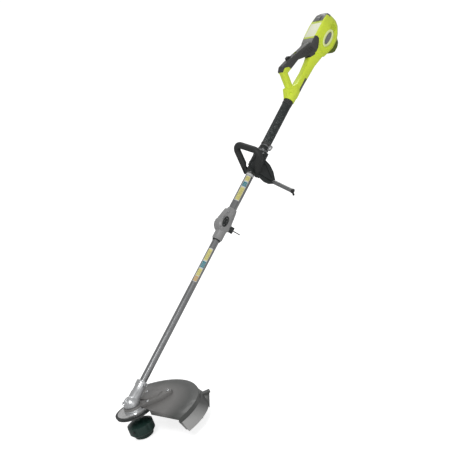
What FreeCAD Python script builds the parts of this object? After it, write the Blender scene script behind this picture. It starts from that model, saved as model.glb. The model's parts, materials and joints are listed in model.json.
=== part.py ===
"""Battery string trimmer with a loop front handle, in millimetres.

Two working frames share the point where the shaft axis meets the spool axis:
  head frame   X forward to the operator, Y to the operator's right, Z up along the spool axis
  shaft frame  X along the shaft, Y as above, Z square to the shaft on its upper side
The exported frame is the head frame moved so that its origin is the harness eye's bore centre.
"""
import os
import FreeCAD
import Part
from math import atan2, cos, degrees, hypot, pi, radians, sin, sqrt, tan

V = FreeCAD.Vector

# ---- driving dimensions -------------------------------------------------------------------
shaft_angle = 30.0            # shaft above the horizontal in use

running = 0.05                # radial clearance of a turning shaft in its bearing
slip = 0.3                    # clearance between bodies that slide or swing past each other
guide = 0.6                   # wider clearance round a button or a battery

lower_tube_d = 25.4
lower_tube_wall = 1.5
upper_tube_d = 30.0
upper_tube_wall = 1.5
sleeve_d = 36.0
drive_shaft_d = 7.0

socket_top = 85.0             # gear case socket, along the shaft
coupler_start = 675.0
coupler_end = 807.0
tube_joint = 742.0            # where the two tubes meet inside the coupler
clamp_start = 970.0
clamp_end = 1064.0
sleeve_start = 1098.0
powerhead_start = 1302.0
powerhead_end = 1700.0

eye_s = 1081.0                # harness eye, along the shaft
eye_reach = 36.0              # bore centre from the shaft axis
eye_bore_r = 6.0

shell = 2.0                   # plastic wall of the housing
skin = 1.6                    # rubber over the grip

collar_r = 69.0
guard_r = 232.0
guard_wall = 3.5
skirt_drop = 50.0
skirt_flare = 22.0

head_r = 47.0
head_top = -66.0
head_bottom = -114.0
knob_bottom = -131.0
knob_travel = 5.0

pinion_teeth = 14
driven_teeth = 19
gear_module = 1.8

# ---- frames and export ----------------------------------------------------------------------
eye_point = V(eye_s * cos(radians(shaft_angle)), -eye_reach, eye_s * sin(radians(shaft_angle)))


def leaned(shape):
    """Take a shape from the shaft frame to the head frame."""
    moved = shape.copy()
    moved.rotate(V(0, 0, 0), V(0, 1, 0), -shaft_angle)
    return moved


def save(name, shapes, on_shaft=True):
    """Write one node as its own STEP file."""
    solids = []
    for shape in shapes:
        placed = leaned(shape) if on_shaft else shape.copy()
        placed.translate(-eye_point)
        solids.extend(placed.Solids)
    body = solids[0] if len(solids) == 1 else Part.makeCompound(solids)
    body.exportStep("parts/" + name + ".step")


# ---- shapes -----------------------------------------------------------------------------------
def box(x0, x1, y0, y1, z0, z1):
    return Part.makeBox(x1 - x0, y1 - y0, z1 - z0, V(x0, y0, z0))


def rod(start, end, r):
    span = end - start
    return Part.makeCylinder(r, span.Length, start, span)


def rod_s(s0, s1, r, y=0.0, h=0.0):
    return Part.makeCylinder(r, s1 - s0, V(s0, y, h), V(1, 0, 0))


def rod_y(y0, y1, r, s, h):
    return Part.makeCylinder(r, y1 - y0, V(s, y0, h), V(0, 1, 0))


def rod_z(z0, z1, r, x=0.0, y=0.0):
    return Part.makeCylinder(r, z1 - z0, V(x, y, z0), V(0, 0, 1))


def pipe_s(s0, s1, r_out, r_in):
    return rod_s(s0, s1, r_out).cut(rod_s(s0 - 1, s1 + 1, r_in))


def pipe_z(z0, z1, r_out, r_in):
    return rod_z(z0, z1, r_out).cut(rod_z(z0 - 1, z1 + 1, r_in))


def join(shapes):
    return shapes[0].multiFuse(shapes[1:]).removeSplitter()


def carve(body, tools):
    for tool in tools:
        body = body.cut(tool)
    return body


def slab(points, y0, y1):
    """A side outline in (s, h) with thickness along Y."""
    corners = [V(s, y0, h) for s, h in points]
    face = Part.Face(Part.makePolygon(corners + corners[:1]))
    return face.extrude(V(0, y1 - y0, 0))


def plate(points, z0, z1):
    """A plan outline in (x, y) with thickness along Z."""
    corners = [V(x, y, z0) for x, y in points]
    face = Part.Face(Part.makePolygon(corners + corners[:1]))
    return face.extrude(V(0, 0, z1 - z0))


def turned(points, turn=360.0, start=0.0):
    """A (radius, z) outline turned about the Z axis."""
    corners = [V(r, 0, z) for r, z in points]
    face = Part.Face(Part.makePolygon(corners + corners[:1]))
    face.rotate(V(0, 0, 0), V(0, 0, 1), start)
    return face.revolve(V(0, 0, 0), V(0, 0, 1), turn)


def around_z(shape, angle):
    copy = shape.copy()
    copy.rotate(V(0, 0, 0), V(0, 0, 1), angle)
    return copy


def onto_shaft(shape):
    """Lay a shape turned about Z along the shaft, its Z end toward the operator."""
    copy = shape.copy()
    copy.rotate(V(0, 0, 0), V(0, 1, 0), 90)
    return copy


corner_steps = 2              # flats that round each corner of a lofted section


def ring_section(s, half, low, high, r_low, r_high):
    """Corners of a rounded rectangle in a plane square to the shaft."""
    centres = [(half - r_low, low + r_low, r_low, -90), (half - r_high, high - r_high, r_high, 0),
               (r_high - half, high - r_high, r_high, 90), (r_low - half, low + r_low, r_low, 180)]
    corners = []
    for y, h, r, start in centres:
        for step in range(corner_steps + 1):
            angle = radians(start + 90.0 * step / corner_steps)
            corners.append(V(s, y + r * cos(angle), h + r * sin(angle)))
    return corners


def lofted(stations, inset):
    """A solid of flat faces through (s, half, low, high, r_low, r_high) stations, drawn in by an inset."""
    rings = []
    last = len(stations) - 1
    for i, (s, half, low, high, r_low, r_high) in enumerate(stations):
        shift = inset if i == 0 else -inset if i == last else 0
        least = 1.0
        rings.append(ring_section(s + shift, half - inset, low + inset, high - inset,
                                  max(r_low - inset, least), max(r_high - inset, least)))
    faces = [Part.Face(Part.makePolygon(ring + ring[:1])) for ring in (rings[0], rings[-1])]
    for near, far in zip(rings, rings[1:]):
        for i in range(len(near)):
            j = (i + 1) % len(near)
            quad = [near[i], near[j], far[j], far[i], near[i]]
            faces.append(Part.Face(Part.makePolygon(quad)))
    solid = Part.Solid(Part.Shell(faces))
    solid.fixTolerance(1e-6)
    return solid if solid.Volume > 0 else solid.reversed()


def screw_y(s, h, y_head, length, head_r=3.4, shank_r=1.75):
    """A pan-head screw along Y whose head faces -Y at y_head."""
    head = rod_y(y_head, y_head + 2.4, head_r, s, h)
    drive = rod_y(y_head - 1, y_head + 1.3, head_r * 0.42, s, h)
    return head.cut(drive).fuse(rod_y(y_head + 2.4, y_head + length, shank_r, s, h))


def screw_z(x, y, z_head, length, head_r=4.2, shank_r=2.2):
    """A dome-head screw along Z whose head stands on z_head."""
    dome = Part.makeSphere(head_r * 1.25, V(x, y, z_head - head_r * 0.75))
    dome = dome.common(rod_z(z_head, z_head + 5, head_r, x, y))
    drive = rod_z(z_head + head_r * 0.25, z_head + 9, head_r * 0.4, x, y)
    return dome.cut(drive).fuse(rod_z(z_head - length, z_head, shank_r, x, y))


# ---- shared values ------------------------------------------------------------------------
tube_r = lower_tube_d / 2
tube_bore_r = tube_r - lower_tube_wall
upper_r = upper_tube_d / 2
upper_bore_r = upper_r - upper_tube_wall
sleeve_r = sleeve_d / 2
shaft_r = drive_shaft_d / 2

spindle_r = 5.0
spindle_bearing_r = 13.0
pinion_journal_r = 6.0
pinion_bearing_r = 14.0
bearing_w = 8.0

case_r = 27.0
chamber_r = 21.5
case_foot = -20.0
case_flange_t = 4.0
cap_r = 19.5
cap_foot = -36.0
cap_flange_r = 33.0
collar_top = -24.0
collar_t = 4.0
base_t = 6.0
collar_foot = collar_top - collar_t - base_t


# ---- gear head ------------------------------------------------------------------------------
def cone_angles():
    """Pitch cone half-angles of a bevel pair whose axes are 90 + shaft_angle apart."""
    between = radians(90 + shaft_angle)
    small = atan2(sin(between), driven_teeth / pinion_teeth + cos(between))
    return small, between - small


def bevel_gear(teeth, half_angle, bore):
    """A bevel wheel opening up Z from an apex at the origin; its tips stop short of the pitch cone."""
    pitch_r = gear_module * teeth / 2
    reach = pitch_r / sin(half_angle)
    face = 7.0
    tip_gap = 0.35
    depth = 1.5 * gear_module
    inner = reach - face

    def on_cone(distance, drop):
        return (distance * sin(half_angle) - drop * cos(half_angle),
                distance * cos(half_angle) + drop * sin(half_angle))

    tip_out = on_cone(reach, tip_gap)
    tip_in = on_cone(inner, tip_gap)
    root_out = on_cone(reach, depth)
    back = root_out[1] + 2.2
    blank = turned([(bore, tip_in[1]), tip_in, tip_out, (root_out[0] + 0.2, back), (bore, back)])
    lift = (face + 6) / 2
    notch_w = pi * pitch_r / teeth * 0.95
    for i in range(teeth):
        notch = Part.makeBox(2 * lift, notch_w, depth, V(-lift, -notch_w / 2, -depth + 0.01))
        notch.rotate(V(0, 0, 0), V(0, 1, 0), degrees(half_angle) - 90)
        middle = on_cone((reach + inner) / 2, tip_gap)
        notch.rotate(V(0, 0, 0), V(0, 1, 0), 180)
        notch.translate(V(middle[0], 0, middle[1]))
        blank = blank.cut(around_z(notch, 360.0 * i / teeth))
    return blank


def gear_case():
    socket = onto_shaft(turned([(0, 0), (20.5, 0), (20.5, 40), (19.0, 44), (19.0, 74),
                                (21.0, 76), (21.0, socket_top), (0, socket_top)]))
    outer = join([leaned(socket), Part.makeSphere(case_r), rod_z(case_foot, 0, 25.0),
                  rod_z(case_foot, case_foot + case_flange_t, cap_flange_r)])
    lugs = []
    for side in (-1, 1):
        lug = box(70, 82, side * 24 - 5, side * 24 + 5, -6, 6)
        lugs.append(leaned(lug))
    outer = join([outer] + lugs).common(box(-90, 120, -90, 90, case_foot, 120))
    tube_way = leaned(rod_s(18, socket_top + 1, pinion_bearing_r))
    slot = leaned(box(50, socket_top + 1, -1.2, 1.2, -26, 0))
    pinch = leaned(rod_y(-40, 40, 2.4, 76, 0))
    return carve(outer, [Part.makeSphere(chamber_r), rod_z(case_foot - 1, -8, cap_r), tube_way, slot, pinch]
                 + flange_holes(case_foot - 1, case_foot + 3.2))


def gear_case_cap():
    body = rod_z(cap_foot, -13.2, cap_r).fuse(rod_z(collar_top, case_foot, cap_flange_r))
    body = body.cut(rod_z(cap_foot + 2, -13, spindle_bearing_r))
    return body.cut(rod_z(cap_foot - 1, -20, spindle_bearing_r - 2.5))


def flange_screws():
    """Six screws up through the collar stack into the gear case foot."""
    screws = []
    for i in range(6):
        angle = radians(30 + 60 * i)
        x = 27.5 * cos(angle)
        y = 27.5 * sin(angle)
        head = rod_z(collar_foot - 2.4, collar_foot, 3.6, x, y)
        socket = rod_z(collar_foot - 3, collar_foot - 1, 1.8, x, y)
        screws.append(head.cut(socket).fuse(rod_z(collar_foot, case_foot + 3.2, 2.0, x, y)))
    return screws


def flange_holes(z0, z1):
    holes = []
    for i in range(6):
        angle = radians(30 + 60 * i)
        holes.append(rod_z(z0, z1, 2.0, 27.5 * cos(angle), 27.5 * sin(angle)))
    return holes


def collar_disc(z_top, thick, r_out):
    return pipe_z(z_top - thick, z_top, r_out, cap_r)


guard_top = -27.0
guard_hub_r = 34.5


def guard_profile(drop):
    """Radial outline of the guard's roof at a depth below its top face."""
    top = guard_top - drop
    return [(guard_hub_r, top), (150.0, top), (200.0, top - 6.0), (guard_r, top - 15.0)]


guard_start = -92.0
guard_sweep = 134.0
front_edge_x = 16.0


def guard_roof():
    upper = guard_profile(0)
    lower = guard_profile(guard_wall)
    rim = [(guard_r + 1.5, -46.0), (guard_r + 3.0, -58.0), (guard_r - 0.5, -58.0)]
    roof = turned(upper + rim + lower[::-1], guard_sweep, guard_start)
    trim = box(-guard_r, front_edge_x, -guard_r - 40, 0, -140, 0)
    roof = roof.cut(trim)
    edge = box(front_edge_x, front_edge_x + 3.0, -guard_r + 2, -collar_r - 2, -46, -29)
    return roof.cut(rod_z(-60, 0, guard_hub_r)).fuse(edge.common(roof_under())).removeSplitter()


def roof_under():
    """Space under the roof skin, which the edge ribs reach into."""
    lower = guard_profile(guard_wall * 0.5)
    return turned(lower + [(guard_r, -60.0), (guard_hub_r, -60.0)], guard_sweep + 20, guard_start - 10)


tab_reach = 36.0
tab_low = -73.0
tab_turn = -31.0


def guard_skirt():
    """The flared wall that hangs from the operator's left part of the roof."""
    top = -58.0
    foot = top - skirt_drop + 16.0
    out = guard_r + skirt_flare
    wall = turned([(guard_r + 3.0, top), (out, foot), (out - guard_wall, foot), (guard_r - 0.5, top)], 64.0, -84.0)
    end = box(0, out, -1.5, 1.5, -120, 0).common(
        turned([(guard_r - 24, -62), (guard_r + 2, top), (out - 1, foot), (out - 24, foot)], 360.0))
    tab = box(guard_r + 4, guard_r + tab_reach, -10, 10, tab_low, tab_low + 7)
    return join([wall, around_z(end, -82.0), around_z(tab, tab_turn)])


bracket_foot = -27.0
guard_screw_spots = [(120.0, -58.0), (44.0, -33.0), (92.0, 34.0)]
bracket_top = -13.0


def guard_bracket():
    """The raised arm that ties the guard to the gear case."""
    outline = [(25, 24), (60, 44), (100, 40), (134, -30), (138, -58), (124, -72), (80, -66), (34, -40), (14, -28)]
    inside = [(38, 18), (62, 38), (96, 35), (128, -30), (132, -55), (122, -66), (82, -60), (44, -40), (34, -20)]
    arm = plate(outline, bracket_foot, bracket_top)
    crown = plate([(40, 18), (92, 20), (110, -40), (84, -46), (52, -22)], bracket_top, bracket_top + 4)
    hollow = plate(inside, bracket_foot, bracket_top - 3)
    for x, y in guard_screw_spots:
        hollow = hollow.cut(rod_z(-60, 0, 6.0, x, y))
    seat = case_foot + case_flange_t
    ring = rod_z(seat, bracket_top + 4, cap_flange_r)
    body = arm.fuse(crown).cut(hollow).cut(rod_z(-60, seat, guard_hub_r)).fuse(ring)
    body = body.cut(box(-90, front_edge_x, -90, 90, -60, collar_top))
    return body.cut(rod_z(-60, 10, case_r + 0.1)).removeSplitter()


# ---- cutting head -----------------------------------------------------------------------------
washer_z = cap_foot - 2.0
washer_t = 3.0


def spindle():
    top = -5.5
    shoulder = cap_foot - 1.0
    return join([rod_z(shoulder, top, spindle_r - running), rod_z(head_top + 6, shoulder, 4.6),
                 rod_z(-100, head_top + 6, 4.0)])


def head_housing():
    """Six-lobed drum with a neck, open below for the bump knob."""
    neck = rod_z(head_top, washer_z - washer_t, 12.5)
    wall = turned([(12.5, head_top + 2), (26, head_top), (head_r, head_top - 12), (head_r, head_bottom + 8),
                   (head_r - 7, head_bottom), (37.2, head_bottom), (37.2, head_bottom + 4),
                   (42, head_bottom + 8), (43, head_top - 14), (24, head_top - 3), (4, head_top - 3),
                   (4, head_top + 2)])
    drum = wall.fuse(neck).cut(rod_z(head_top - 4, 0, 4.0)).cut(rod_z(head_top + 6, 0, 4.6))
    for i in range(6):
        angle = radians(60 * i + 30)
        scoop = rod_z(head_bottom - 1, head_top + 1, 16.0, (head_r + 13.4) * cos(angle),
                      (head_r + 13.4) * sin(angle))
        drum = drum.cut(scoop)
    for angle in (20.0, 200.0):
        hole = Part.makeCylinder(3.2, 30, V(30, 0, -90), V(1, 0, 0))
        drum = drum.cut(around_z(hole, angle))
    return drum.removeSplitter()


def line_eyelets():
    rings = []
    for angle in (20.0, 200.0):
        ring = Part.makeCylinder(3.2, 6.0, V(42.2, 0, -90), V(1, 0, 0))
        lip = Part.makeCylinder(4.6, 1.4, V(head_r + 0.05, 0, -90), V(1, 0, 0))
        bore = Part.makeCylinder(1.7, 20, V(35, 0, -90), V(1, 0, 0))
        rings.append(around_z(ring.fuse(lip).cut(bore), angle))
    return rings


spool_top = head_top - 13.0
spool_foot = spool_top - 21.0
flange_t = 2.0


def spool():
    top = spool_top - flange_t
    foot = spool_foot + flange_t
    return turned([(4.3, spool_top), (38, spool_top), (38, top), (14, top), (14, foot), (38, foot),
                   (38, spool_foot), (4.3, spool_foot)])


def wound_line():
    """The stored line, as the closed shape of its turns."""
    top = spool_top - flange_t - 0.3
    foot = spool_foot + flange_t + 0.3
    edge = [(14.3, top)]
    turns = 7
    pitch = (top - foot) / turns
    for i in range(turns):
        edge.append((31.0, top - pitch * i))
        edge.append((32.2, top - pitch * (i + 0.5)))
    edge.append((31.0, foot))
    edge.append((14.3, foot))
    return turned(edge)


def coil(r_mid, wire_r, z0, z1, turns):
    helix = Part.makeHelix((z1 - z0) / turns, z1 - z0, r_mid)
    helix.translate(V(0, 0, z0))
    profile = Part.Wire([Part.makeCircle(wire_r, V(r_mid, 0, z0), V(0, 1, 0))])
    return Part.Wire(helix).makePipeShell([profile], True, True)


knob_floor = 5.0


def bump_knob():
    foot = knob_bottom
    outline = [(0, foot), (24, foot), (33, foot + 5), (36.4, foot + 14),
               (36.4, head_bottom + 4.6), (40.2, head_bottom + 6.5), (40.2, head_bottom + 8.3),
               (33, head_bottom + 6.3), (30, foot + 9), (21, foot + knob_floor), (0, foot + knob_floor)]
    knob = turned(outline)
    for i in range(6):
        angle = radians(60 * i)
        flute = Part.makeCylinder(7, 60, V(41 * cos(angle), 41 * sin(angle), knob_bottom - 20), V(0, 0, 1))
        flute = flute.common(rod_z(knob_bottom - 20, head_bottom - 0.5, 80))
        knob = knob.cut(flute)
    return knob.removeSplitter()


def save_cutting_head():
    pinion_angle, driven_angle = cone_angles()
    driven = bevel_gear(driven_teeth, driven_angle, spindle_r - running)
    driven.rotate(V(0, 0, 0), V(1, 0, 0), 180)
    pinion = onto_shaft(bevel_gear(pinion_teeth, pinion_angle, pinion_journal_r - 1.0))
    save("driven_gear", [driven], False)
    save("lower_drive_shaft", [lower_shaft().fuse(pinion).removeSplitter()])
    save("spindle", [spindle()], False)
    washer = pipe_z(washer_z - washer_t, washer_z, 22.0, 4.6)
    save("flange_washer", [washer], False)
    save("head_housing", [head_housing()], False)
    save("line_eyelets", line_eyelets(), False)
    save("spool", [spool()], False)
    save("wound_line", [wound_line()], False)
    spring_foot = knob_bottom + knob_floor + knob_travel + 1.8
    save("bump_spring", [coil(9.0, 0.9, spring_foot, spool_foot - 1.2, 5)], False)
    save("bump_knob", [bump_knob()], False)


def save_gear_head():
    save("gear_case", [gear_case()], False)
    cap = carve(gear_case_cap(), flange_holes(-60, 0))
    save("gear_case_cap", [cap], False)
    bearings = [pipe_z(z, z + bearing_w, spindle_bearing_r, spindle_r) for z in (-33.5, -22.5)]
    bearings.extend(leaned(pipe_s(s, s + bearing_w, pinion_bearing_r, pinion_journal_r)) for s in (22.0, 32.0))
    save("gear_bearings", bearings, False)
    dish = turned([(cap_flange_r + 1, collar_top), (60, collar_top), (60, collar_top + 1.2),
                   (52, collar_top + 1.2), (44, collar_top + 3.0), (cap_flange_r + 1, collar_top + 3.0)])
    save("polished_plate", [dish.cut(box(front_edge_x - 2, 90, -90, 90, -60, 0))], False)
    levels = [("collar_ring", collar_top, collar_t, collar_r),
              ("collar_base", collar_top - collar_t, base_t, collar_r - 2)]
    roof_seat = box(front_edge_x - slip, 90, -90, 90, guard_top - guard_wall, 0)
    roof_seat = roof_seat.cut(rod_z(-60, 10, guard_hub_r - slip))
    for name, z, thick, r in levels:
        save(name, [carve(collar_disc(z, thick, r), flange_holes(-70, 0) + [roof_seat])], False)
    guard_holes = [rod_z(-60, bracket_top + 0.01, 2.2, x, y) for x, y in guard_screw_spots]
    roof = carve(guard_roof(), guard_holes)
    bracket = carve(guard_bracket(), guard_holes)
    save("guard_roof", [roof], False)
    save("guard_bracket", [bracket], False)
    fasteners = [screw_z(x, y, bracket_top, 16.0) for x, y in guard_screw_spots]
    save("guard_screws", fasteners + flange_screws(), False)
    save("guard_skirt", [guard_skirt()], False)


# ---- shaft ------------------------------------------------------------------------------------
drive_square = 5.0
drive_socket_r = 6.0
journal_end = 44.0


def lower_shaft():
    journal = rod_s(6.0, journal_end, pinion_journal_r - running)
    round_end = tube_joint - 1.0
    length = rod_s(journal_end, round_end, shaft_r - running)
    half = drive_square / 2
    tip = box(round_end, tube_joint + 22, -half, half, -half, half)
    return join([journal, length, tip])


def bush(s, r_out):
    return pipe_s(s, s + 14, r_out, shaft_r)


def save_lower_shaft():
    save("lower_tube", [pipe_s(journal_end + 2, tube_joint - 4, tube_r, tube_bore_r)])
    collet = pipe_s(journal_end + 2, socket_top + 3, pinion_bearing_r, tube_r)
    save("lower_bushes", [collet] + [bush(s, tube_bore_r) for s in (190, 400, 610)])


def coupler_outer():
    barrel = onto_shaft(turned([(0, coupler_start), (16, coupler_start), (19.5, coupler_start + 6),
                                (19.5, coupler_end - 30), (18.5, coupler_end), (0, coupler_end)]))
    drum = rod_y(-21, 21, 29, 737, 6)
    drum = drum.makeChamfer(5, [e for e in drum.Edges if e.Closed])
    tail = slab([(746, 33), (800, 21), (800, -14), (746, -20)], -15, 15)
    return join([barrel, drum, tail])


knob_s = 736.0
knob_way = V(0, -sin(radians(27)), -cos(radians(27)))


knob_base = 22.0


def along_knob(start, end, r):
    middle = V(knob_s, 0, 0)
    return rod(middle + knob_way * start, middle + knob_way * end, r)


def coupler_half(side):
    body = coupler_outer()
    body = carve(body, [rod_s(coupler_start - 1, tube_joint, tube_r + slip),
                        rod_s(tube_joint, coupler_end + 1, upper_r)])
    body = body.cut(along_knob(knob_base - slip, 60.0, 12.5 + slip))
    body = body.cut(along_knob(0, 60.0, 4.0 + running))
    body = body.cut(box(button_s, button_s + 24, -60, -12.0, button_h, button_h + 9))
    for s, h in coupler_bolt_spots:
        body = body.cut(rod_y(-30, 30, 2.0, s, h))
        body = body.cut(rod_y(-30, -15.2, 3.6, s, h))
    keep = box(600, 900, -60, 0, -60, 60) if side < 0 else box(600, 900, 0, 60, -60, 60)
    return body.common(keep)


coupler_bolt_spots = [(716, 23), (752, 30), (784, 22)]
button_s = 733.0
button_h = 11.0


def coupler_bolts():
    return [screw_y(s, h, -17.6, 30.0, 3.4, 1.9) for s, h in coupler_bolt_spots]


def clamp_knob():
    """A fluted knob on a threaded stem, with its sliding tommy bar fixed through the end."""
    knob = along_knob(knob_base, knob_base + 17.0, 12.5)
    stem = along_knob(tube_r + 1.2, knob_base + 1.0, 4.0)
    body = knob.fuse(stem)
    side = V(1, 0, 0)
    other = side.cross(knob_way)
    for i in range(8):
        angle = 2 * pi * i / 8
        out = side * (14.6 * cos(angle)) + other * (14.6 * sin(angle))
        start = V(knob_s, 0, 0) + knob_way * (knob_base + 3.0) + out
        body = body.cut(rod(start, start + knob_way * 20.0, 2.6))
    return body.removeSplitter()


def release_button():
    gap = guide
    return box(button_s + gap, button_s + 24 - gap, -23.0, -15.5, button_h + gap, button_h + 9 - gap)


def save_coupler():
    save("coupler_left", [coupler_half(-1)])
    save("coupler_right", [coupler_half(1)])
    save("shaft_screws", coupler_bolts() + [harness_screw()])
    save("clamp_knob", [clamp_knob(), along_knob(knob_base + 17.0, 68.0, 1.9)])
    save("release_button", [release_button()])


socket_end = powerhead_start + 40.0
upper_tube_end = powerhead_start + 52.0


def upper_shaft():
    half = drive_square / 2 + slip
    socket = rod_s(tube_joint, tube_joint + 40, drive_socket_r)
    socket = socket.cut(box(tube_joint - 1, tube_joint + 28, -half, half, -half, half))
    return join([socket, rod_s(tube_joint + 40, coupling_s, shaft_r - running)])


def save_upper_shaft():
    save("upper_tube", [pipe_s(tube_joint, upper_tube_end, upper_r, upper_bore_r)])
    save("shaft_sleeve", [pipe_s(sleeve_start, socket_end, sleeve_r, upper_r)])
    save("upper_bushes", [bush(s, upper_bore_r) for s in (850, 1150, powerhead_start + 30)])
    save("upper_drive_shaft", [upper_shaft()])


# ---- harness eye --------------------------------------------------------------------------------
def harness_band():
    band = pipe_s(eye_s - 8, eye_s + 8, upper_r + 3.0, upper_r)
    ears = box(eye_s - 8, eye_s + 8, upper_r + 2, upper_r + 14, -5, 5)
    ears = ears.cut(box(eye_s - 9, eye_s + 9, upper_r, upper_r + 15, -1.2, 1.2))
    split = box(eye_s - 9, eye_s + 9, 0, upper_r + 4, -1.2, 1.2)
    return band.cut(split).fuse(ears).cut(rod(V(eye_s, upper_r + 8.5, -20), V(eye_s, upper_r + 8.5, 20), 2.0))


def harness_eye():
    pad_r = eye_bore_r + 5.5
    ring = rod(V(eye_s, -eye_reach, -2.5), V(eye_s, -eye_reach, 2.5), pad_r)
    stalk = box(eye_s - 5, eye_s + 5, -eye_reach, -upper_r - 1, -2.5, 2.5)
    body = ring.fuse(stalk).cut(rod_s(eye_s - 30, eye_s + 30, upper_r + 3.0))
    return body.cut(rod(V(eye_s, -eye_reach, -9), V(eye_s, -eye_reach, 9), eye_bore_r)).removeSplitter()


def harness_screw():
    spot = V(eye_s, upper_r + 8.5, 0)
    head = rod(spot + V(0, 0, 5), spot + V(0, 0, 8), 3.6)
    return head.fuse(rod(spot + V(0, 0, -9), spot + V(0, 0, 5), 2.0))


def save_harness():
    save("harness_eye", [harness_band().fuse(harness_eye()).removeSplitter()])


# ---- front handle ----------------------------------------------------------------------------
clamp_mid = (clamp_start + clamp_end) / 2
loop_s = clamp_start + 4.0    # where the loop's legs enter the clamp
handle_roll = 17.0            # the loop is set over to the operator's left
loop_tube_r = 8.0
loop_cover_r = 12.5


def on_axis(s):
    return V(s * cos(radians(shaft_angle)), 0, s * sin(radians(shaft_angle)))


loop_point = on_axis(loop_s)
leaf_point = on_axis(clamp_mid)


def rounded_path(points, radius):
    """An open path in the plane across the shaft, with its corners rounded to a radius."""
    turn = radians(handle_roll)
    spots = [loop_point + V(0, y * cos(turn) - z * sin(turn), y * sin(turn) + z * cos(turn)) for y, z in points]
    edges = []
    at = spots[0]
    for i in range(1, len(spots) - 1):
        before = (spots[i - 1] - spots[i]).normalize()
        after = (spots[i + 1] - spots[i]).normalize()
        half = before.getAngle(after) / 2
        cut_back = radius / tan(half)
        enter = spots[i] + before * cut_back
        leave = spots[i] + after * cut_back
        centre_way = (before + after).normalize()
        middle = spots[i] + centre_way * (radius / sin(half) - radius)
        edges.append(Part.LineSegment(at, enter).toShape())
        edges.append(Part.Arc(enter, middle, leave).toShape())
        at = leave
    edges.append(Part.LineSegment(at, spots[-1]).toShape())
    return Part.Wire(edges)


def tube_on(path, r):
    start = path.Edges[0]
    at = start.Vertexes[0].Point
    way = start.tangentAt(start.FirstParameter)
    profile = Part.Wire([Part.makeCircle(r, at, way)])
    return path.makePipeShell([profile], True, True)


loop_corners = [(24, -10), (70, 104), (-70, 104), (-24, -10)]
loop_bend_r = 24.0


def handle_loop(r):
    return tube_on(rounded_path(loop_corners, loop_bend_r), r)


def clamp_bolt_spots():
    return [(clamp_mid + along, 27.5 * side) for along in (-2.0, 34.0) for side in (-1, 1)]


def loop_saddle(gap=0.0):
    """The thick bar across the clamp that takes the loop's two legs."""
    return rod_y(-35 - gap, 35 + gap, 14.0 + gap, loop_s + 8, 0)


def clamp_block():
    block = onto_shaft(turned([(0, clamp_start), (19.5, clamp_start), (22, clamp_start + 8),
                               (22, clamp_end - 8), (19.5, clamp_end), (0, clamp_end)]))
    wings = box(clamp_start + 34, clamp_end - 4, -33, 33, -9, 9)
    ridge = box(clamp_start + 34, clamp_end - 6, -7, 7, 0, 24.5)
    block = join([block, wings, ridge, loop_saddle()]).cut(rod_s(clamp_start - 9, clamp_end + 1, upper_r + slip))
    for s, y in clamp_bolt_spots():
        block = block.cut(rod(V(s, y, -30), V(s, y, 30), 2.0))
    loop = handle_loop(loop_tube_r)
    loop.rotate(V(0, 0, 0), V(0, 1, 0), shaft_angle)
    return block.cut(loop)


def clamp_bolts():
    bolts = []
    for s, y in clamp_bolt_spots():
        spot = V(s, y, 0)
        head = rod(spot + V(0, 0, 9), spot + V(0, 0, 12.5), 3.4)
        socket = rod(spot + V(0, 0, 10.5), spot + V(0, 0, 14), 1.7)
        bolts.append(head.cut(socket).fuse(rod(spot + V(0, 0, -11), spot + V(0, 0, 9), 2.0)))
    return bolts


def save_front_handle():
    tube_way = leaned(rod_s(clamp_start - 60, clamp_end + 60, upper_r + slip))
    core = handle_loop(loop_tube_r).cut(tube_way)
    clear_of_clamp = leaned(rod_s(clamp_start - 60, clamp_end + 60, 34.5))
    cover = handle_loop(loop_cover_r).cut(handle_loop(loop_tube_r)).cut(clear_of_clamp)
    cover = cover.cut(leaned(loop_saddle(slip)))
    save("handle_loop", [core], False)
    save("handle_cover", main_solid(cover), False)
    block = clamp_block()
    split = 0.2
    save("clamp_upper", main_solid(block.common(box(900, 1200, -60, 60, split, 60))))
    save("clamp_lower", main_solid(block.common(box(900, 1200, -60, 60, -60, -split))))
    save("clamp_bolts", clamp_bolts())
    save_barrier()


leaf_lean = 26.0              # how far the bracket leans out from the vertical
leaf_t = 5.0
bar_r = 8.0


def leaf_frame(shape):
    """Take a bracket drawn in its own plane (x, up) to its place beside the clamp."""
    placed = shape.copy()
    placed.rotate(V(0, 0, 0), V(1, 0, 0), -leaf_lean)
    placed.translate(leaf_point + V(0, -26, -4))
    return placed


def barrier_bracket():
    outline = [(10, 24), (22, 12), (27, -22), (21, -50), (5, -80), (-12, -87), (-28, -79), (-40, -63),
               (-46, -38), (-57, -10), (-56, 6), (-30, 22)]
    face = slab(outline, -leaf_t / 2, leaf_t / 2)
    rib = slab([(8, 10), (16, -14), (0, -76), (-12, -76), (-38, -28), (-44, -4), (-20, 10)], -5.5, -2.5)
    pocket = slab([(4, 4), (10, -14), (-4, -66), (-10, -66), (-31, -26), (-36, -8), (-16, 4)], -6, -2.5)
    return face.fuse(rib).cut(pocket).removeSplitter()


def save_barrier():
    start = leaf_point + V(-4, -60, -78)
    way = V(0, -86, -39)
    tip = start + way
    bar = rod(start, tip, bar_r)
    bracket = leaf_frame(barrier_bracket())
    bracket = carve(bracket, [leaned(rod_s(900, 1200, 22.0)), handle_loop(loop_cover_r), bar,
                              leaned(box(clamp_start + 34, clamp_end - 4, -33, 33, -12, 12.6)),
                              leaned(loop_saddle())])
    save("barrier_bracket", main_solid(bracket), False)
    save("barrier_bar", [bar], False)
    cap = rod(tip, tip + way * 0.05, bar_r + 1.2)
    hook = rod(tip + way * 0.025, tip + way * 0.025 + V(0, 3, -17), 4.0)
    save("barrier_end_cap", [cap.fuse(hook).cut(bar).removeSplitter()], False)


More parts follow.
